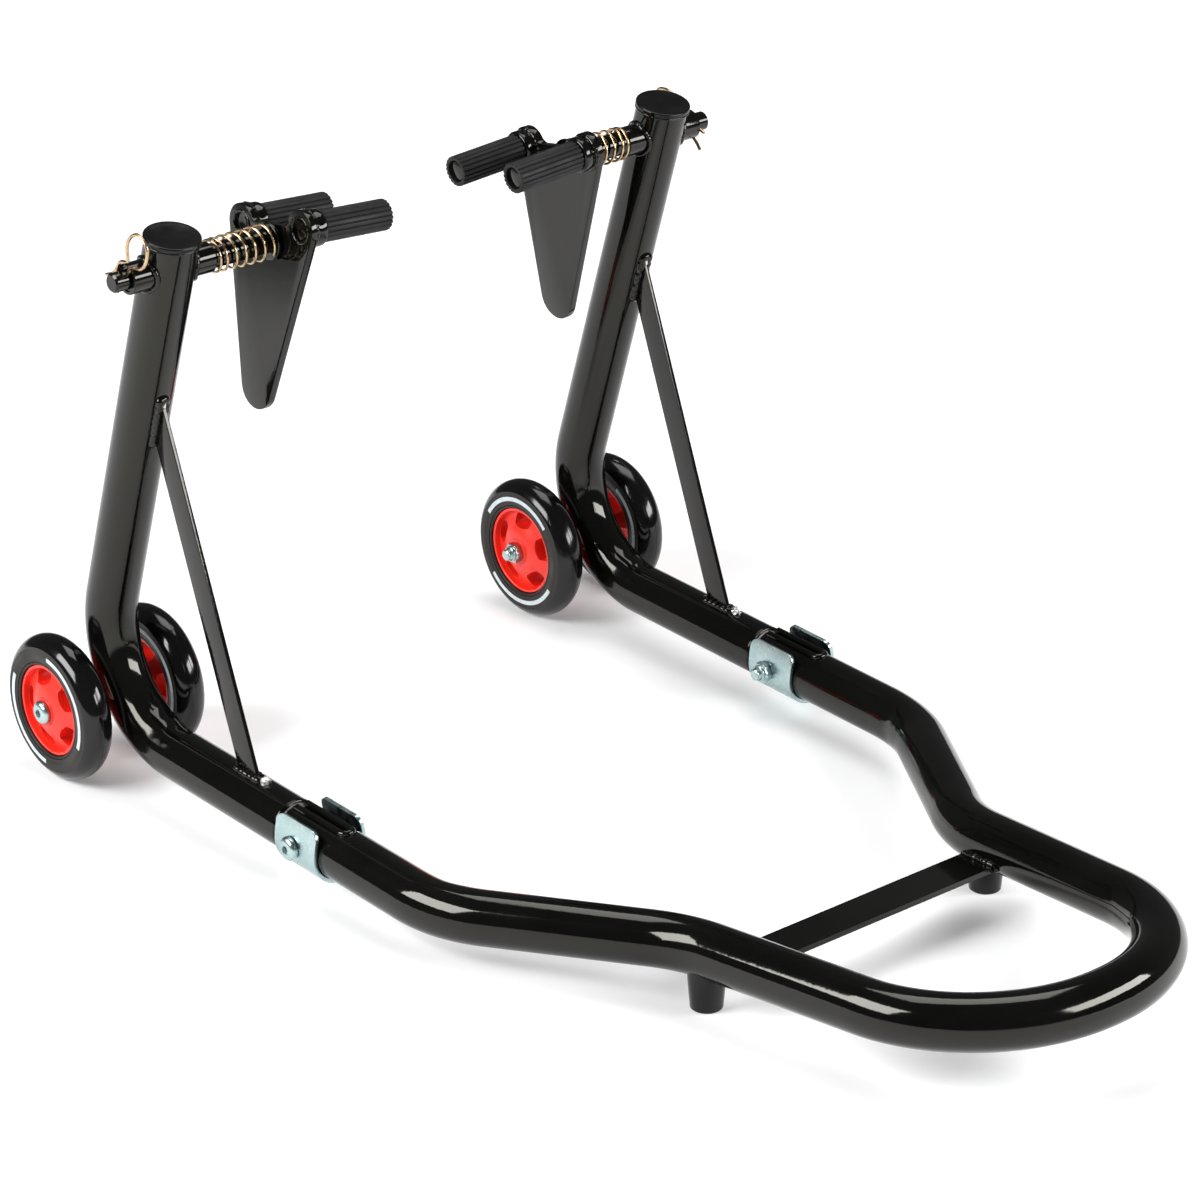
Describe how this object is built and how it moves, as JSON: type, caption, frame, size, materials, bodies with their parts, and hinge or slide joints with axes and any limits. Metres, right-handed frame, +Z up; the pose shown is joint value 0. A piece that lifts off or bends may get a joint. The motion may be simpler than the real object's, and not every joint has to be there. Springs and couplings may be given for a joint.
{
  "type": "paddock stand",
  "caption": "Motorcycle paddock stand of bent black tube with paired wheels, a bolted handle loop and sprung turning heads with rubber pegs.",
  "frame": {"origin": "centre of the stand's footprint, on the floor", "axes": "+X across the stand to the right leg seen from the handle, +Y from the handle to the wheels, +Z up"},
  "size_m": [0.5098, 0.7885, 0.4074],
  "materials": {
    "gloss_black": "gloss black powder coat",
    "satin_black": "satin black paint",
    "tyre_black": "smooth black urethane with a white ring",
    "peg_rubber": "matt grooved black rubber",
    "hub_red": "moulded red plastic",
    "zinc": "bright zinc plate",
    "yellow_zinc": "yellow zinc plate"
  },
  "bodies": {
    "frame": {"left_leg_tube": "gloss_black", "left_top_cap": "satin_black", "left_gusset": "gloss_black", "left_lift_tube": "gloss_black", "left_axle_tube": "gloss_black", "left_axle_bolt": "zinc", "left_axle_nut": "zinc", "left_clamp_saddle": "zinc", "left_clamp_bolt": "zinc", "left_clamp_nut": "zinc", "left_spring": "yellow_zinc", "right_leg_tube": "gloss_black", "right_top_cap": "satin_black", "right_gusset": "gloss_black", "right_lift_tube": "gloss_black", "right_axle_tube": "gloss_black", "right_axle_bolt": "zinc", "right_axle_nut": "zinc", "right_clamp_saddle": "zinc", "right_clamp_bolt": "zinc", "right_clamp_nut": "zinc", "right_spring": "yellow_zinc", "handle_tube": "gloss_black", "crossbar": "gloss_black", "left_foot": "satin_black", "right_foot": "satin_black"},
    "left_slider": {"left_spring_seat": "gloss_black"},
    "left_head": {"left_lift_pin": "gloss_black", "left_lift_plate": "gloss_black", "left_wheel_side_peg": "gloss_black", "left_handle_side_peg": "gloss_black", "left_wheel_side_rubber": "peg_rubber", "left_handle_side_rubber": "peg_rubber", "left_clip": "yellow_zinc"},
    "left_outer_wheel": {"left_outer_tyre": "tyre_black", "left_outer_hub": "hub_red"},
    "left_inner_wheel": {"left_inner_tyre": "tyre_black", "left_inner_hub": "hub_red"},
    "right_slider": {"right_spring_seat": "gloss_black"},
    "right_head": {"right_lift_pin": "gloss_black", "right_lift_plate": "gloss_black", "right_wheel_side_peg": "gloss_black", "right_handle_side_peg": "gloss_black", "right_wheel_side_rubber": "peg_rubber", "right_handle_side_rubber": "peg_rubber", "right_clip": "yellow_zinc"},
    "right_outer_wheel": {"right_outer_tyre": "tyre_black", "right_outer_hub": "hub_red"},
    "right_inner_wheel": {"right_inner_tyre": "tyre_black", "right_inner_hub": "hub_red"}
  },
  "joints": [
    {"name": "left_head_slide", "type": "slide", "parent": "frame", "child": "left_slider", "axis": [-1, 0, 0], "range_m": [0, 0.028], "stiffness_N_per_m": 1600, "springref_m": -0.012, "deforming": ["left_spring"]},
    {"name": "left_head_turn", "type": "hinge", "parent": "left_slider", "child": "left_head", "pos_m": [-0.1225, 0.25519, 0.3726], "axis": [1, 0, 0], "continuous": true},
    {"name": "left_outer_wheel_spin", "type": "hinge", "parent": "frame", "child": "left_outer_wheel", "pos_m": [-0.237, 0.34425, 0.05], "axis": [1, 0, 0], "continuous": true},
    {"name": "left_inner_wheel_spin", "type": "hinge", "parent": "frame", "child": "left_inner_wheel", "pos_m": [-0.163, 0.34425, 0.05], "axis": [1, 0, 0], "continuous": true},
    {"name": "right_head_slide", "type": "slide", "parent": "frame", "child": "right_slider", "axis": [1, 0, 0], "range_m": [0, 0.028], "stiffness_N_per_m": 1600, "springref_m": -0.012, "deforming": ["right_spring"]},
    {"name": "right_head_turn", "type": "hinge", "parent": "right_slider", "child": "right_head", "pos_m": [0.1225, 0.25519, 0.3726], "axis": [1, 0, 0], "continuous": true},
    {"name": "right_outer_wheel_spin", "type": "hinge", "parent": "frame", "child": "right_outer_wheel", "pos_m": [0.237, 0.34425, 0.05], "axis": [1, 0, 0], "continuous": true},
    {"name": "right_inner_wheel_spin", "type": "hinge", "parent": "frame", "child": "right_inner_wheel", "pos_m": [0.163, 0.34425, 0.05], "axis": [1, 0, 0], "continuous": true}
  ]
}
